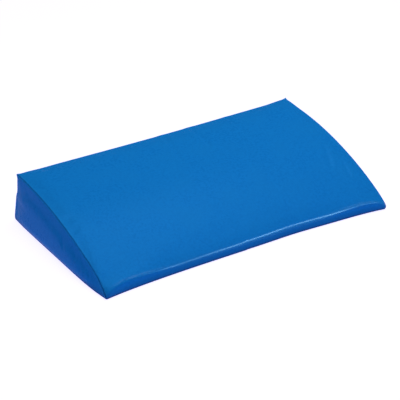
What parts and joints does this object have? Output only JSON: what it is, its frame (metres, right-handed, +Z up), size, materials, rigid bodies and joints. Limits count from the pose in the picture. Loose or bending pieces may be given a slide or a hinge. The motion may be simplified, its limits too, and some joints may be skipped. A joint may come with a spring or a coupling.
{
  "type": "incline wedge mat",
  "caption": "Crowned foam wedge with a thin front lip and a tall back, in a sewn coated-fabric cover with a zip along the back.",
  "frame": {"origin": "under the middle of the mat, on the surface it rests on", "axes": "+X along the long edges, +Y from the thin front lip to the tall back, +Z up"},
  "size_m": [1.2, 0.7, 0.2009],
  "materials": {
    "vinyl": "satin coated fabric with a fine grain",
    "foam": "open-cell polyurethane foam",
    "zip_tape": "woven tape",
    "zip_plastic": "moulded",
    "slider_metal": "painted die-casting",
    "thread": "bonded sewing thread"
  },
  "bodies": {
    "mat": {"foam_core": "foam", "top_panel": "vinyl", "base_panel": "vinyl", "left_end_panel": "vinyl", "right_end_panel": "vinyl", "back_upper_panel": "vinyl", "back_lower_panel": "vinyl", "zip_tape_upper": "zip_tape", "zip_tape_lower": "zip_tape", "zip_teeth_upper": "zip_plastic", "zip_teeth_lower": "zip_plastic", "zip_top_stops": "zip_plastic", "zip_bottom_stop": "zip_plastic", "zip_end_patch_left": "vinyl", "zip_end_patch_right": "vinyl", "patch_stitching_left": "thread", "patch_stitching_right": "thread", "zip_stitching_upper": "thread", "zip_stitching_lower": "thread", "seam_thread_left_end": "thread", "seam_thread_right_end": "thread", "seam_thread_back_top": "thread", "seam_thread_base_front": "thread", "seam_thread_base_back": "thread"},
    "slider": {"zip_slider": "slider_metal", "zip_slider_bridge": "slider_metal"},
    "pull_tab": {"zip_pull_tab": "slider_metal"}
  },
  "joints": [
    {"name": "zip_slide", "type": "slide", "parent": "mat", "child": "slider", "axis": [-1, 0, 0], "range_m": [0, 1.089], "deforming": ["zip_teeth_upper", "zip_teeth_lower"]},
    {"name": "pull_tab_hinge", "type": "hinge", "parent": "slider", "child": "pull_tab", "pos_m": [0.5493, 0.34699, 0.05442], "axis": [0, 0.1191, -0.9929], "range_deg": [0, 175]}
  ]
}
